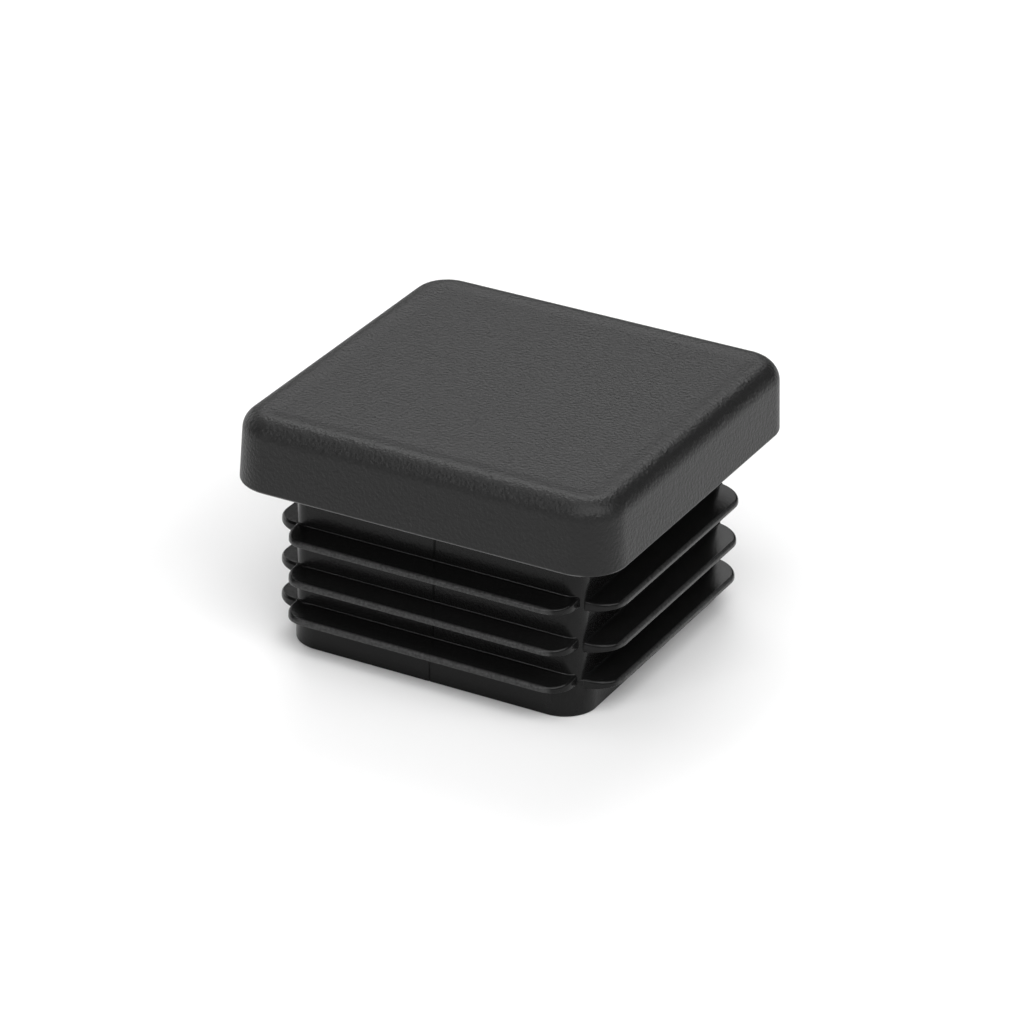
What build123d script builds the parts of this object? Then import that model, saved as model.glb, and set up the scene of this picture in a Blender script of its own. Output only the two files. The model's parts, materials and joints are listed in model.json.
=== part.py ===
"""Square ribbed end cap for a 30 x 30 mm tube, moulded in one piece of black LDPE.

The head covers the tube's end. The hollow skirt below it goes into the bore: a square core,
with a wider collar round its mouth. Rows of thin fins on the core's four sides bend against
the bore and hold the cap in.

Frame: +Z up and along the tube, origin at the middle of the skirt's mouth, millimetres.
"""

import math
import os

from build123d import *

# The square tube that the cap closes
tube_width = 30.0
tube_wall = 1.5

# Head
head_overhang = 0.0
head_height = 5.35
head_draft = 2.6
head_corner_radius = 3.2
head_top_radius = 1.5
seat_edge_chamfer = 0.1

# Core of the skirt
skirt_depth = 13.0
core_clearance = 2.0
core_corner_radius = 1.3

# Collar round the skirt's mouth, measured where it meets the lowest fins
collar_height = 2.7
collar_clearance = 1.58
collar_draft = 0.8
collar_corner_radius = 2.6
mouth_edge_chamfer = 0.12

# Hollow inside the skirt and the head
core_wall = 1.5
head_floor = 2.8
hollow_draft = 0.5
hollow_corner_radius = 1.0
hollow_end_radius = 0.8

# Fins, in three unevenly spaced rows. The two on the front and back are wide, and the two on the
# sides are narrow and sit a little lower
first_rim_drop = 3.8
second_rim_drop = 7.0
third_rim_drop = 9.88
narrow_fin_lowering = 0.4
fin_interference = 0.15
fin_rim = 0.4
fin_slope = 5.0
wide_fin_corner_radius = 1.8
narrow_fin_corner_radius = 2.2

# The bare gap between two fins at a core corner, and how far round from the corner's middle it lies
corner_gap = 0.4
gap_turn = 14.0

# Sizes that follow from the ones above
tube_bore = tube_width - 2 * tube_wall
head_width = tube_width + 2 * head_overhang
core_width = tube_bore - 2 * core_clearance
collar_width = tube_bore - 2 * collar_clearance
mouth_width = core_width - 2 * core_wall
hollow_depth = skirt_depth + head_height - head_floor
seat_height = skirt_depth
full_height = skirt_depth + head_height

# Fins reach past the bore, and those on two neighbouring sides end at the two edges of a gap
fin_reach = tube_bore / 2 + fin_interference
plate_rise = fin_reach * math.tan(math.radians(fin_slope))
corner_centre = core_width / 2 - core_corner_radius
gap_middle = math.radians(45 + gap_turn)
gap_half_angle = math.asin(corner_gap / 2 / core_corner_radius)
wide_fin = 2 * (corner_centre + core_corner_radius * math.sin(gap_middle - gap_half_angle))
narrow_fin = 2 * (corner_centre + core_corner_radius * math.cos(gap_middle + gap_half_angle))


def make_plate(rim_drop, fin_width, corner_radius):
    """The plate that makes two opposite fins of a row, thinning from its middle to its rims."""
    rim_top = seat_height - rim_drop
    rim_bottom = rim_top - fin_rim
    with BuildPart() as plate:
        with BuildSketch():
            RectangleRounded(fin_width, 2 * fin_reach, corner_radius)
        extrude(amount=full_height)
        with BuildSketch(Plane.YZ):
            Polygon(
                (-fin_reach, rim_bottom),
                (0, rim_bottom - plate_rise),
                (fin_reach, rim_bottom),
                (fin_reach, rim_top),
                (0, rim_top + plate_rise),
                (-fin_reach, rim_top),
                align=None,
            )
        extrude(amount=fin_width / 2, both=True, mode=Mode.INTERSECT)
    return plate.part


# The mould core that leaves the hollow
with BuildPart() as hollow:
    with BuildSketch():
        RectangleRounded(mouth_width, mouth_width, hollow_corner_radius)
    extrude(amount=hollow_depth, taper=hollow_draft)
    fillet(hollow.faces().sort_by(Axis.Z)[-1].edges(), radius=hollow_end_radius)

with BuildPart() as end_cap:
    # Head, with the soft edge of its top and the fine one round its seat
    with BuildSketch(Plane.XY.offset(seat_height)):
        RectangleRounded(head_width, head_width, head_corner_radius)
    extrude(amount=head_height, taper=head_draft)
    fillet(end_cap.faces().sort_by(Axis.Z)[-1].edges(), radius=head_top_radius)
    chamfer(end_cap.faces().sort_by(Axis.Z)[0].edges(), length=seat_edge_chamfer)

    # Collar, narrowing towards the mouth
    with BuildSketch(Plane.XY.offset(collar_height)):
        RectangleRounded(collar_width, collar_width, collar_corner_radius)
    extrude(amount=-collar_height, taper=collar_draft)
    chamfer(end_cap.faces().sort_by(Axis.Z)[0].edges(), length=mouth_edge_chamfer)

    # Core, from the collar up to the head
    with BuildSketch(Plane.XY.offset(collar_height)):
        RectangleRounded(core_width, core_width, core_corner_radius)
    extrude(amount=seat_height - collar_height)

    # Rows of fins, whose curved ends stop on either side of a narrow gap at every corner
    for rim_drop in (first_rim_drop, second_rim_drop, third_rim_drop):
        add(make_plate(rim_drop, wide_fin, wide_fin_corner_radius))
        side_drop = rim_drop + narrow_fin_lowering
        add(make_plate(side_drop, narrow_fin, narrow_fin_corner_radius), rotation=(0, 0, 90))

    # Hollow
    add(hollow.part, mode=Mode.SUBTRACT)

end_cap.part.label = "end_cap"

os.makedirs("parts", exist_ok=True)
export_step(end_cap.part, "parts/end_cap.step")

print("head", head_width, "tall", full_height, "bore", tube_bore, "core", core_width)
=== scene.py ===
"""A square ribbed tube end cap, moulded in black LDPE, standing on its skirt on a pale table."""

import json
import math

import bpy
from mathutils import Matrix, Vector


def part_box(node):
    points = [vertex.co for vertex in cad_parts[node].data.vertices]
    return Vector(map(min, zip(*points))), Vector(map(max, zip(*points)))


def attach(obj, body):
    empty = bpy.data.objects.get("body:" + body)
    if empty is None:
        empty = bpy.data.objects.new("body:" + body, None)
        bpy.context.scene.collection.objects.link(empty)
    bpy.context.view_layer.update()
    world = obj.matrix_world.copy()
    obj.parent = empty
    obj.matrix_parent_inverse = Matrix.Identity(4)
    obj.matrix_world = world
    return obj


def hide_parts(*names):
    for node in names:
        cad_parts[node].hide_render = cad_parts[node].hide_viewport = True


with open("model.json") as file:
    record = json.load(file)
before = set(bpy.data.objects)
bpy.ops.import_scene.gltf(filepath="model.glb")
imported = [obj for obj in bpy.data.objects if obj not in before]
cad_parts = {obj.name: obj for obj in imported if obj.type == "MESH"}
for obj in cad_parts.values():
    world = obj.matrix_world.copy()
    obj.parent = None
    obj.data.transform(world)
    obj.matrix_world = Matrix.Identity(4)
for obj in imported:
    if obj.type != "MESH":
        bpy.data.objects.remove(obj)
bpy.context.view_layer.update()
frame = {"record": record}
scene = bpy.context.scene

MM = 0.001

# ---------------------------------------------------------------- sizes
# What the frame gives: the cap's box and its two seats
node_low, node_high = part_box("end_cap")
mounts = {mount["name"]: mount for mount in frame["record"]["mounts"]}
seat_height = mounts["tube_seat"]["pos_m"][2]
full_height = node_high.z - node_low.z

# Head
head_width = 30.0 * MM
head_draft = math.radians(2.6)
head_corner_radius = 3.2 * MM
head_top_radius = 1.5 * MM
top_rim_height = 0.07 * MM
top_rim_width = 1.3 * MM
seat_edge_radius = 0.22 * MM

# Core of the skirt
core_width = 23.0 * MM
core_corner_radius = 1.3 * MM

# Collar round the skirt's mouth, measured where it meets the lowest fins
collar_height = 2.7 * MM
collar_width = 23.84 * MM
collar_draft = math.radians(0.8)
collar_corner_radius = 2.6 * MM
collar_shoulder = 0.12 * MM
mouth_edge_radius = 0.15 * MM

# Hollow
core_wall = 1.5 * MM
head_floor = 2.8 * MM
hollow_draft = math.radians(0.5)
hollow_corner_radius = 1.0 * MM
hollow_end_radius = 0.8 * MM
mouth_overrun = 1.0 * MM

# Fins. The wide ones are on the front and back, and the narrow ones at the sides sit a little lower
rim_drops = (3.8 * MM, 7.0 * MM, 9.88 * MM)
narrow_fin_lowering = 0.4 * MM
fin_reach = 13.65 * MM
fin_rim = 0.4 * MM
fin_slope = math.radians(5.0)
wide_fin_corner_radius = 1.8 * MM
narrow_fin_corner_radius = 2.2 * MM
corner_gap = 0.4 * MM
gap_turn = math.radians(14)
rim_top_radius = 0.25 * MM
rim_bottom_radius = 0.05 * MM
root_fillet_radius = 0.15 * MM
root_fillet_bite = 0.01 * MM

# The line that the two halves of the mould leave down the middle of two faces of the skirt
seam_width = 0.18 * MM
seam_depth = 0.07 * MM

# How finely round stretches are divided
corner_steps = 24
edge_steps = 12
small_edge_steps = 5
smooth_below = math.radians(35)

# Fins on two neighbouring sides end at the two edges of a bare gap on the core's corner
corner_centre = core_width / 2 - core_corner_radius
gap_middle = math.pi / 4 + gap_turn
gap_half_angle = math.asin(corner_gap / 2 / core_corner_radius)
wide_fin = 2 * (corner_centre + core_corner_radius * math.sin(gap_middle - gap_half_angle))
narrow_fin = 2 * (corner_centre + core_corner_radius * math.cos(gap_middle + gap_half_angle))


# ---------------------------------------------------------------- node trees
def add_node(tree, kind, settings=None, values=None, links=None):
    """Adds a node with its settings, the values of its inputs, and the sockets that feed it.

    An input goes by its name, or by its place where several share one name.
    """
    node = tree.nodes.new(kind)
    for name, setting in (settings or {}).items():
        setattr(node, name, setting)
    for key, value in (values or {}).items():
        node.inputs[key].default_value = value
    for key, sources in (links or {}).items():
        for source in sources if isinstance(sources, list) else [sources]:
            tree.links.new(source, node.inputs[key])
    return node


def linear(hex_colour):
    """An sRGB hex colour as linear RGBA."""
    channels = [int(hex_colour[i:i + 2], 16) / 255 for i in (1, 3, 5)]
    return [c / 12.92 if c <= 0.04045 else ((c + 0.055) / 1.055) ** 2.4 for c in channels] + [1.0]


# ---------------------------------------------------------------- materials
polyethylene_ior = 1.51

# A Mix node's two colours and its outcome, by place, as its numbers and vectors have the same names
mix_first, mix_second, mix_outcome = 6, 7, 2


def bare_material(name):
    """A material with an empty node tree, and that tree."""
    material = bpy.data.materials.new(name)
    material.use_nodes = True
    material.node_tree.nodes.clear()
    return material, material.node_tree


def moulded_grain(tree, place, size, depth):
    """The grain that a mould's steel leaves, as its height and as the normal that it gives."""
    grain = add_node(
        tree, "ShaderNodeTexNoise",
        values={"Scale": 1 / size, "Detail": 2.0, "Roughness": 0.6},
        links={"Vector": place},
    )
    bump = add_node(
        tree, "ShaderNodeBump",
        values={"Strength": 1.0, "Distance": depth},
        links={"Height": grain.outputs["Fac"]},
    )
    return grain.outputs["Fac"], bump.outputs["Normal"]


def outer_band(tree, place, inner, outer):
    """A factor from 0 at one distance out from the cap's axis to 1 at a greater one, and the height.

    The distance is the one to the side or the one to the front, whichever is greater.
    """
    outward = add_node(
        tree, "ShaderNodeVectorMath", settings={"operation": "ABSOLUTE"}, links={"Vector": place},
    )
    split = add_node(tree, "ShaderNodeSeparateXYZ", links={"Vector": outward.outputs["Vector"]})
    distance = add_node(
        tree, "ShaderNodeMath", settings={"operation": "MAXIMUM"},
        links={0: split.outputs["X"], 1: split.outputs["Y"]},
    )
    band = add_node(
        tree, "ShaderNodeMapRange", values={"From Min": inner, "From Max": outer},
        links={"Value": distance.outputs["Value"]},
    )
    return band.outputs["Result"], split.outputs["Z"]


def black_ldpe(tree, plain, highlight_colour, highlight_factors, normal, roughness, specular_level):
    """The plastic's surface, whose colour goes from plain to a lighter painted highlight as the
    product of two factors rises.
    """
    highlight_mask = add_node(
        tree, "ShaderNodeMath", settings={"operation": "MULTIPLY"}, links={0: highlight_factors[0], 1: highlight_factors[1]},
    )
    # The lighter colour is a painted highlight, mixed in where both factors are high
    colour = add_node(
        tree, "ShaderNodeMix", settings={"data_type": "RGBA"},
        values={mix_first: linear(plain), mix_second: linear(highlight_colour)},
        links={"Factor": highlight_mask.outputs["Value"]},
    )
    surface = add_node(
        tree, "ShaderNodeBsdfPrincipled",
        values={"Roughness": roughness, "IOR": polyethylene_ior, "Specular IOR Level": specular_level},
        links={"Base Color": colour.outputs[mix_outcome], "Normal": normal},
    )
    add_node(tree, "ShaderNodeOutputMaterial", links={"Surface": surface.outputs["BSDF"]})


def spark_eroded_ldpe():
    """Low-density polyethylene from a spark-eroded mould, dead black under a fine dull grain.

    The grain greys it, and a thin lighter line is painted along the sharp edge of the seat, as a
    painted highlight for the light that the rounded edge catches.
    """
    # The real grain is about 0.1 mm wide. That is too fine to show, so it is drawn coarser
    grain_size = 0.25 * MM
    grain_depth = 0.075 * MM
    edge_highlight_width = 0.2 * MM
    edge_highlight_out_to = head_width / 2 - seat_edge_radius
    material, tree = bare_material("black_ldpe_spark_eroded")
    place = add_node(tree, "ShaderNodeTexCoord").outputs["Object"]
    normal = moulded_grain(tree, place, grain_size, grain_depth)[1]
    # A painted highlight: a thin band round the head's outer edge, just above the seat, is painted
    # lighter
    outer, height = outer_band(tree, place, edge_highlight_out_to - edge_highlight_width, edge_highlight_out_to)
    low = add_node(
        tree, "ShaderNodeMapRange",
        values={"From Min": seat_height + edge_highlight_width, "From Max": seat_height + edge_highlight_width / 2},
        links={"Value": height},
    )
    black_ldpe(
        tree, plain="#191919", highlight_colour="#5c5c5c", highlight_factors=(outer, low.outputs["Result"]),
        normal=normal, roughness=0.43, specular_level=0.26,
    )
    return material


def stoned_ldpe():
    """The same plastic from milled and stoned steel, a deeper black with a waxy gloss.

    A faint mottle is left in it, and the fins' rims are painted a lighter grey, broken by the mottle,
    as a painted highlight.
    """
    # The stone's own scratches are too fine to show, so the mottle is drawn coarser
    mottle_size = 0.22 * MM
    mottle_depth = 0.01 * MM
    rim_highlight_from = fin_reach - 0.3 * MM
    rim_highlight_full_from = fin_reach - 0.1 * MM
    material, tree = bare_material("black_ldpe_stoned_steel")
    place = add_node(tree, "ShaderNodeTexCoord").outputs["Object"]
    mottle, normal = moulded_grain(tree, place, mottle_size, mottle_depth)
    # A painted highlight: the outermost faces of the fins' rims are painted lighter, patchy with the
    # mottle
    rim = outer_band(tree, place, rim_highlight_from, rim_highlight_full_from)[0]
    black_ldpe(
        tree, plain="#121212", highlight_colour="#4a4a4a", highlight_factors=(rim, mottle),
        normal=normal, roughness=0.22, specular_level=0.18,
    )
    return material


def table_white():
    """Matt white laminate, which gives only a soft shadow."""
    material = bpy.data.materials.new("white_matt_laminate")
    material.use_nodes = True
    surface = material.node_tree.nodes["Principled BSDF"]
    surface.inputs["Base Color"].default_value = linear("#f0f0f0")
    surface.inputs["Roughness"].default_value = 0.9
    surface.inputs["Specular IOR Level"].default_value = 0.0
    return material


# ---------------------------------------------------------------- outlines
def arc(centre, radius, start, end, steps):
    """Points along an arc, by angle."""
    angles = [start + (end - start) * i / steps for i in range(steps + 1)]
    return [(centre[0] + radius * math.cos(a), centre[1] + radius * math.sin(a)) for a in angles]


def rounded_square(half, radius, seam):
    """A square outline with round corners, run anticlockwise, with a fine groove in two sides."""
    outline = []
    for quarter in range(4):
        turn = Matrix.Rotation(quarter * math.pi / 2, 2)
        side = arc((half - radius, half - radius), radius, 0, math.pi / 2, corner_steps)
        groove = seam if quarter % 2 == 0 else 0
        side += [(seam_width / 2, half), (0, half - groove), (-seam_width / 2, half)]
        outline += [turn @ Vector(point) for point in side]
    return outline


def neighbours(count):
    """Each place on a closed ring of points, with the place after it."""
    return [(i, (i + 1) % count) for i in range(count)]


def plain_mesh(name, points, faces):
    """A mesh object of points and faces."""
    mesh = bpy.data.meshes.new(name)
    mesh.from_pydata(points, [], faces)
    piece = bpy.data.objects.new(name, mesh)
    scene.collection.objects.link(piece)
    return piece


def loft_rings(name, rings):
    """A closed mesh through level rings, each given as its height and outline, from the lowest up."""
    count = len(rings[0][1])
    points = [(p[0], p[1], height) for height, outline in rings for p in outline]
    faces = [list(range(count))[::-1], [len(points) - count + i for i in range(count)]]
    for low in range(0, len(points) - count, count):
        high = low + count
        for i, after in neighbours(count):
            faces.append((low + i, low + after, high + after, high + i))
    return plain_mesh(name, points, faces)


# ---------------------------------------------------------------- the moulding
def outer_block():
    """Head, core and collar as one solid block, before the fins and the hollow."""
    rings = []

    def ring(height, half, inset, corner_radius, seam=0):
        rings.append((height, rounded_square(half - inset, corner_radius - inset, seam)))

    # Collar, from the rounded edge of the mouth
    collar_inset = (collar_height - mouth_edge_radius) * math.tan(collar_draft)
    mouth_round = arc((collar_inset + mouth_edge_radius, mouth_edge_radius), mouth_edge_radius,
                      math.radians(270), math.radians(180), small_edge_steps)
    for inset, height in mouth_round + [(0, collar_height)]:
        ring(height, collar_width / 2, inset, collar_corner_radius, seam_depth)

    # Core, up to the head. It leaves the collar in a short slope, which shows between the fins' ends
    for height in (collar_height + collar_shoulder, seat_height):
        ring(height, core_width / 2, 0, core_corner_radius, seam_depth)

    # Head, from the fine edge of its seat up its drafted side and round its soft top edge
    seat_round = arc((seat_edge_radius, seat_height + seat_edge_radius), seat_edge_radius,
                     math.radians(270), math.radians(180), small_edge_steps)
    top_centre_height = full_height - head_top_radius
    side_rise = top_centre_height - seat_height
    top_inset = side_rise * math.tan(head_draft) + head_top_radius / math.cos(head_draft)
    top_round = arc((top_inset, top_centre_height), head_top_radius,
                    math.pi - head_draft, math.pi / 2, edge_steps)
    # Where the thick edge shrank least, a faint raised rim runs round the top
    rim_slope = [
        (top_inset + top_rim_width * i / edge_steps,
         full_height - top_rim_height * (1 - math.cos(math.pi * i / edge_steps)) / 2)
        for i in range(1, edge_steps + 1)
    ]
    for inset, height in seat_round + top_round + rim_slope:
        ring(height, head_width / 2, inset, head_corner_radius)
    return loft_rings("outer_block", rings)


def hollow_core():
    """The mould core that leaves the hollow, run out past the mouth."""
    half = core_width / 2 - core_wall
    depth = full_height - head_floor
    end_centre = depth - hollow_end_radius
    end_inset = end_centre * math.tan(hollow_draft) + hollow_end_radius / math.cos(hollow_draft)
    end_round = arc((end_inset, end_centre), hollow_end_radius,
                    math.pi - hollow_draft, math.pi / 2, edge_steps)
    profile = [(-mouth_overrun * math.tan(hollow_draft), -mouth_overrun)] + end_round
    rings = [
        (height, rounded_square(half - inset, hollow_corner_radius - inset, 0))
        for inset, height in profile
    ]
    return loft_rings("hollow_core", rings)


def fin_swell(y):
    """How much a plate's top rises over its rim at a place across it."""
    return (fin_reach - abs(y)) * math.tan(fin_slope)


def fin_plate(name, fin_width, corner_radius):
    """The plate that makes two opposite fins, with its rim's lower edge at height 0.

    It thickens from its rims to its middle. Every level ring of it is a side and its mirror image,
    so the top and the underside are rungs from one to the other.
    """
    def side(inset):
        corner = arc((fin_width / 2 - corner_radius, fin_reach - corner_radius),
                     corner_radius - inset, math.pi / 2, 0, corner_steps)
        upper = corner + [(fin_width / 2 - inset, 0)]
        return upper + [(x, -y) for x, y in upper[-2::-1]]

    lower_edge = arc((rim_bottom_radius, rim_bottom_radius), rim_bottom_radius,
                     math.radians(270), math.radians(180), small_edge_steps)
    upper_edge = arc((rim_top_radius, fin_rim - rim_top_radius), rim_top_radius,
                     math.radians(180), math.radians(90), small_edge_steps)
    points, levels = [], []
    for inset, height in lower_edge + upper_edge:
        way = 1 if height > fin_rim / 2 else -1
        right = [(x, y, height + way * fin_swell(y)) for x, y in side(inset)]
        left = [(-x, y, z) for x, y, z in right]
        levels.append(len(points))
        points += right + left[::-1]

    count = len(points) // len(levels)
    faces = []
    for low, high in zip(levels, levels[1:]):
        for i, after in neighbours(count):
            faces.append((low + after, low + i, high + i, high + after))
    for i in range(count // 2 - 1):
        rung = (i, i + 1, count - 2 - i, count - 1 - i)
        faces.append([levels[0] + corner for corner in rung])
        faces.append([levels[-1] + corner for corner in rung[::-1]])
    return plain_mesh(name, points, faces)


def fillet_section():
    """A root fillet's section, as distances out of the core's wall and off the fin's face."""
    sink = root_fillet_radius / 2
    turns = [math.pi / 2 * i / small_edge_steps for i in range(small_edge_steps + 1)]
    curve = [(root_fillet_radius * (1 - math.cos(turn)) - root_fillet_bite,
              root_fillet_radius * (1 - math.sin(turn)) - root_fillet_bite) for turn in turns]
    return curve + [(curve[-1][0], -sink), (-sink, -sink), (-sink, curve[0][1])]


def root_fillets(name, fin_width):
    """The small fillets between the core and two opposite fins, over and under each fin.

    Each is swept along the core's outline from one end of its fin to the other, a little sunk in both.
    """
    wall = core_width / 2
    section = fillet_section()
    end_turn = math.acos((fin_width / 2 - rim_bottom_radius - corner_centre)
                         / (core_corner_radius + root_fillet_radius))
    points, faces = [], []
    for front in (1, -1):
        for over in (1, -1):
            base = fin_rim + fin_swell(wall) if over > 0 else -fin_swell(wall)
            start = len(points)
            for out, off in section:
                corner = arc((corner_centre, corner_centre), core_corner_radius + out,
                             end_turn, math.pi / 2, edge_steps)
                path = corner + [(-x, y) for x, y in corner[::-1]]
                points += [(x, front * y, base + over * off) for x, y in path]
            length = len(path)
            rows = [[start + length * i + j for i in range(len(section))] for j in range(length)]
            shell = [rows[0], rows[-1][::-1]]
            for row, following in zip(rows, rows[1:]):
                for i, after in neighbours(len(section)):
                    shell.append([row[after], row[i], following[i], following[after]])
            # A mirrored fillet would be inside out, so its faces are turned round
            mirrored = front * over < 0
            faces += [face[::-1] for face in shell] if mirrored else shell
    return plain_mesh(name, points, faces)


def body_tree(name, inputs):
    """A geometry tree that takes a body and named inputs and gives a body, and the inputs' sockets."""
    tree = bpy.data.node_groups.new(name, "GeometryNodeTree")
    tree.interface.new_socket("Body", in_out="INPUT", socket_type="NodeSocketGeometry")
    for label, kind in inputs.items():
        tree.interface.new_socket(label, in_out="INPUT", socket_type="NodeSocket" + kind)
    tree.interface.new_socket("Body", in_out="OUTPUT", socket_type="NodeSocketGeometry")
    return tree, add_node(tree, "NodeGroupInput").outputs


def fin_row_tree():
    """Lifts a row's parts to their heights, with the narrow ones turned round, and fuses them on."""
    tree, given = body_tree("fin_row", {
        "Wide Plate": "Object", "Wide Fillets": "Object",
        "Narrow Plate": "Object", "Narrow Fillets": "Object",
        "Wide Rim": "Float", "Narrow Rim": "Float", "Finish": "Material",
    })
    fused = given["Body"]
    for kind, turn in (("Wide", 0), ("Narrow", math.pi / 2)):
        lift = add_node(tree, "ShaderNodeCombineXYZ", links={"Z": given[kind + " Rim"]})
        placed = []
        for part in (" Plate", " Fillets"):
            source = add_node(tree, "GeometryNodeObjectInfo", links={"Object": given[kind + part]})
            placed.append(add_node(
                tree, "GeometryNodeTransform",
                values={"Rotation": (0, 0, turn)},
                links={"Geometry": source.outputs["Geometry"], "Translation": lift.outputs["Vector"]},
            ).outputs["Geometry"])
        fused = add_node(
            tree, "GeometryNodeMeshBoolean", settings={"operation": "UNION", "solver": "MANIFOLD"},
            links={"Mesh 2": [fused] + placed},
        ).outputs["Mesh"]
    real = add_node(tree, "GeometryNodeRealizeInstances", links={"Geometry": fused})
    finished = add_node(
        tree, "GeometryNodeSetMaterial",
        links={"Geometry": real.outputs["Geometry"], "Material": given["Finish"]},
    )
    add_node(tree, "NodeGroupOutput", links={"Body": finished.outputs["Geometry"]})
    return tree


def hollow_tree():
    """Cuts the core out of the body, and gives the head its own finish."""
    tree, given = body_tree("hollow_and_head_finish", {
        "Core": "Object", "Seat Height": "Float", "Head Finish": "Material",
    })
    core = add_node(tree, "GeometryNodeObjectInfo", links={"Object": given["Core"]})
    hollowed = add_node(
        tree, "GeometryNodeMeshBoolean", settings={"operation": "DIFFERENCE", "solver": "MANIFOLD"},
        links={"Mesh 1": given["Body"], "Mesh 2": core.outputs["Geometry"]},
    )
    real = add_node(tree, "GeometryNodeRealizeInstances", links={"Geometry": hollowed.outputs["Mesh"]})
    place = add_node(tree, "GeometryNodeInputPosition")
    split = add_node(tree, "ShaderNodeSeparateXYZ", links={"Vector": place.outputs["Position"]})
    above = add_node(
        tree, "FunctionNodeCompare", settings={"data_type": "FLOAT", "operation": "GREATER_THAN"},
        links={"A": split.outputs["Z"], "B": given["Seat Height"]},
    )
    finished = add_node(
        tree, "GeometryNodeSetMaterial",
        links={"Geometry": real.outputs["Geometry"], "Selection": above.outputs["Result"],
               "Material": given["Head Finish"]},
    )
    add_node(tree, "NodeGroupOutput", links={"Body": finished.outputs["Geometry"]})
    return tree


def add_modifier(piece, tree, inputs):
    """Puts a geometry tree on a piece, and sets its inputs, which are given by name."""
    modifier = piece.modifiers.new(tree.name, "NODES")
    modifier.node_group = tree
    for item in tree.interface.items_tree:
        if item.in_out == "INPUT" and item.name in inputs:
            modifier[item.identifier] = inputs[item.name]


def applied(piece, name):
    """A plain mesh object with everything that a piece's modifiers do to it."""
    evaluated = piece.evaluated_get(bpy.context.evaluated_depsgraph_get())
    mesh = bpy.data.meshes.new_from_object(evaluated)
    mesh.name = name
    plain = bpy.data.objects.new(name, mesh)
    scene.collection.objects.link(plain)
    return plain


def make_cap(head_finish, skirt_finish):
    """The whole moulding as one plain mesh."""
    block = outer_block()
    row_parts = {
        "Wide Plate": fin_plate("wide_fin_plate", wide_fin, wide_fin_corner_radius),
        "Wide Fillets": root_fillets("wide_fin_fillets", wide_fin),
        "Narrow Plate": fin_plate("narrow_fin_plate", narrow_fin, narrow_fin_corner_radius),
        "Narrow Fillets": root_fillets("narrow_fin_fillets", narrow_fin),
    }
    row_tree = fin_row_tree()
    for rim_drop in rim_drops:
        wide_rim = seat_height - rim_drop - fin_rim
        add_modifier(block, row_tree, row_parts | {
            "Wide Rim": wide_rim, "Narrow Rim": wide_rim - narrow_fin_lowering, "Finish": skirt_finish,
        })
    core = hollow_core()
    add_modifier(block, hollow_tree(), {
        "Core": core, "Seat Height": seat_height, "Head Finish": head_finish,
    })
    fused = applied(block, "fused_moulding")
    fused.data.shade_smooth()
    fused.data.set_sharp_from_angle(angle=smooth_below)
    # Large faces keep their own normals, so the small rounds beside them don't shade them
    even = fused.modifiers.new("even_normals", "WEIGHTED_NORMAL")
    even.mode = "FACE_AREA"
    even.keep_sharp = True
    cap = applied(fused, "cap_moulding")
    for helper in [block, core, fused] + list(row_parts.values()):
        bpy.data.objects.remove(helper)
    return cap


cap = make_cap(spark_eroded_ldpe(), stoned_ldpe())
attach(cap, "root")
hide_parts("end_cap")


# ---------------------------------------------------------------- table
def make_table():
    """A plain pale table top under the cap."""
    half_width = 1500 * MM
    corners = [
        (x * half_width, y * half_width, node_low.z) for x, y in ((-1, -1), (1, -1), (1, 1), (-1, 1))
    ]
    table = plain_mesh("table", corners, [(0, 1, 2, 3)])
    table.data.materials.append(table_white())


make_table()


# ---------------------------------------------------------------- light
light_distance = 2000 * MM


def soft_box(name, azimuth, elevation, width, height, radiance):
    """A soft light, placed and sized by the angles at which the cap sees it, in degrees."""
    a = math.radians(azimuth)
    e = math.radians(elevation)
    outward = Vector((math.sin(a) * math.cos(e), -math.cos(a) * math.cos(e), math.sin(e)))
    data = bpy.data.lights.new(name, "AREA")
    data.shape = "RECTANGLE"
    data.size = 2 * light_distance * math.tan(math.radians(width) / 2)
    data.size_y = 2 * light_distance * math.tan(math.radians(height) / 2)
    data.energy = radiance * math.pi * data.size * data.size_y
    light = bpy.data.objects.new(name, data)
    facing = outward.to_track_quat("Z", "Y").to_matrix().to_4x4()
    light.matrix_world = Matrix.Translation(outward * light_distance) @ facing
    light.visible_camera = False
    scene.collection.objects.link(light)


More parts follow.
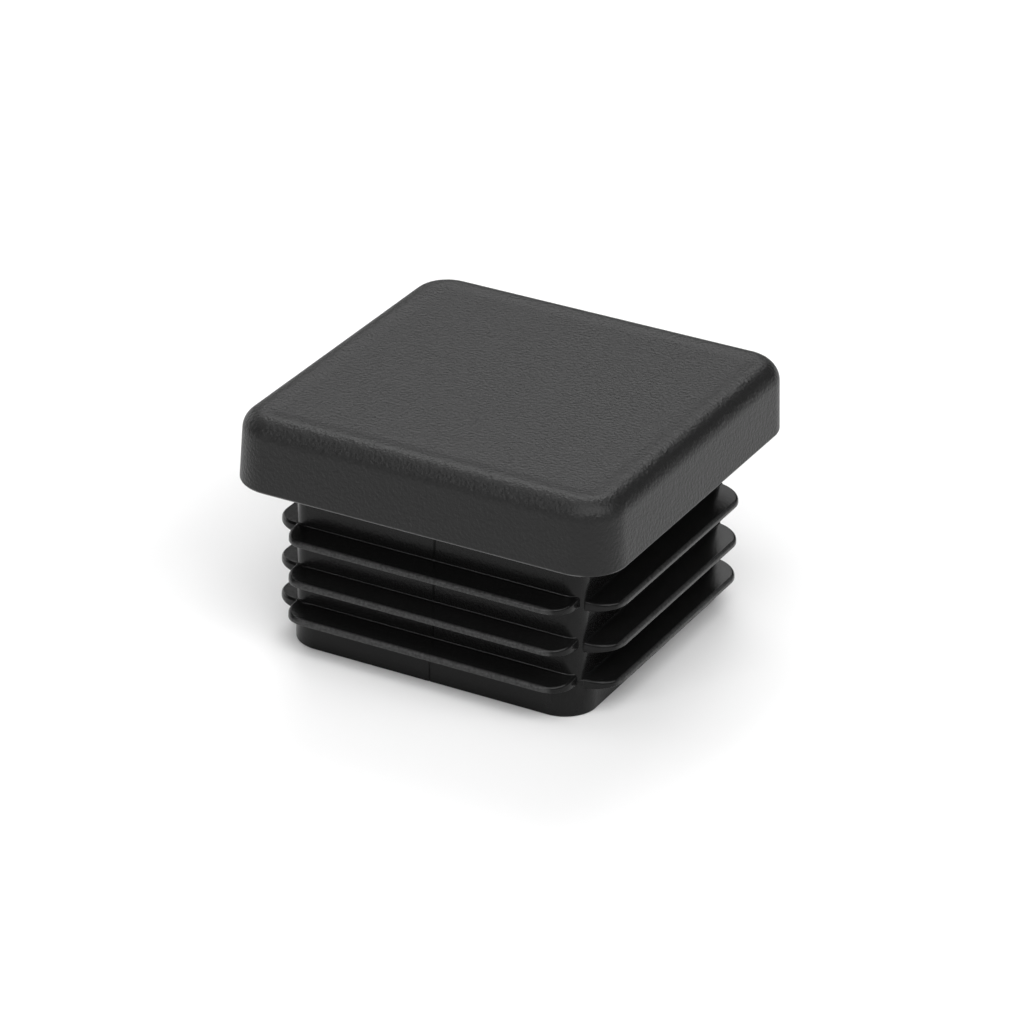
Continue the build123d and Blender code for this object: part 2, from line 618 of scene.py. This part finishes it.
# Each box's azimuth, from the front, -Y, round towards the right, +X, its elevation, its width and
# height, all in degrees, and its radiance
soft_boxes = {
    "right_soft_box": (76, 46, 50, 24, 3.6),
    "back_soft_box": (207, 49, 29, 18, 5.8),
    "back_lower_soft_box": (207, 32.5, 38, 15, 1.9),
    "front_left_soft_box": (-12, 32.5, 30, 15, 5.5),
    "front_soft_box": (27, 49, 29, 18, 2.8),
    "front_lower_soft_box": (50, 32.5, 75, 15, 1.35),
    "overhead_soft_box": (27, 75, 45, 30, 3.1),
    "overhead_left_soft_box": (-95, 62, 44, 16, 1.8),
    "left_low_soft_box": (252, 14, 42, 22, 1.6),
}
for box_name, box_measures in soft_boxes.items():
    soft_box(box_name, *box_measures)


def make_world():
    """A dim room, in front of which the camera sees a white wall as far as the table's end."""
    room_radiance = 0.02
    wall_radiance = 1.0
    world = bpy.data.worlds.new("studio")
    world.use_nodes = True
    tree = world.node_tree
    tree.nodes.clear()
    rays = add_node(tree, "ShaderNodeLightPath")
    strength = add_node(
        tree, "ShaderNodeMapRange", values={"To Min": room_radiance, "To Max": wall_radiance},
        links={"Value": rays.outputs["Is Camera Ray"]},
    )
    background = add_node(
        tree, "ShaderNodeBackground", values={"Color": linear("#ffffff")},
        links={"Strength": strength.outputs["Result"]},
    )
    add_node(tree, "ShaderNodeOutputWorld", links={"Surface": background.outputs["Background"]})
    scene.world = world


make_world()


# ---------------------------------------------------------------- camera
camera_azimuth = math.radians(27.311)
camera_elevation = math.radians(26.721)
camera_roll = math.radians(1.619)
camera_distance = 352.5 * MM
camera_lens = 174.6
nearest_seen = 10 * MM

# Where it aims, seen from it, off the middle of the seat
aim_right = -0.079 * MM
aim_up = -4.25 * MM

toward_camera = Vector((
    math.sin(camera_azimuth) * math.cos(camera_elevation),
    -math.cos(camera_azimuth) * math.cos(camera_elevation),
    math.sin(camera_elevation),
))
level_right = Vector((math.cos(camera_azimuth), math.sin(camera_azimuth), 0))
level_up = toward_camera.cross(level_right)
view_right = level_right * math.cos(camera_roll) + level_up * math.sin(camera_roll)
view_up = level_up * math.cos(camera_roll) - level_right * math.sin(camera_roll)
aim = Vector((0, 0, seat_height)) + view_right * aim_right + view_up * aim_up

camera_data = bpy.data.cameras.new("camera")
camera_data.lens = camera_lens
camera_data.clip_start = nearest_seen
camera = bpy.data.objects.new("camera", camera_data)
pose = Matrix((view_right, view_up, toward_camera)).transposed().to_4x4()
pose.translation = aim + toward_camera * camera_distance
camera.matrix_world = pose
scene.collection.objects.link(camera)
scene.camera = camera
scene.view_settings.view_transform = "Standard"
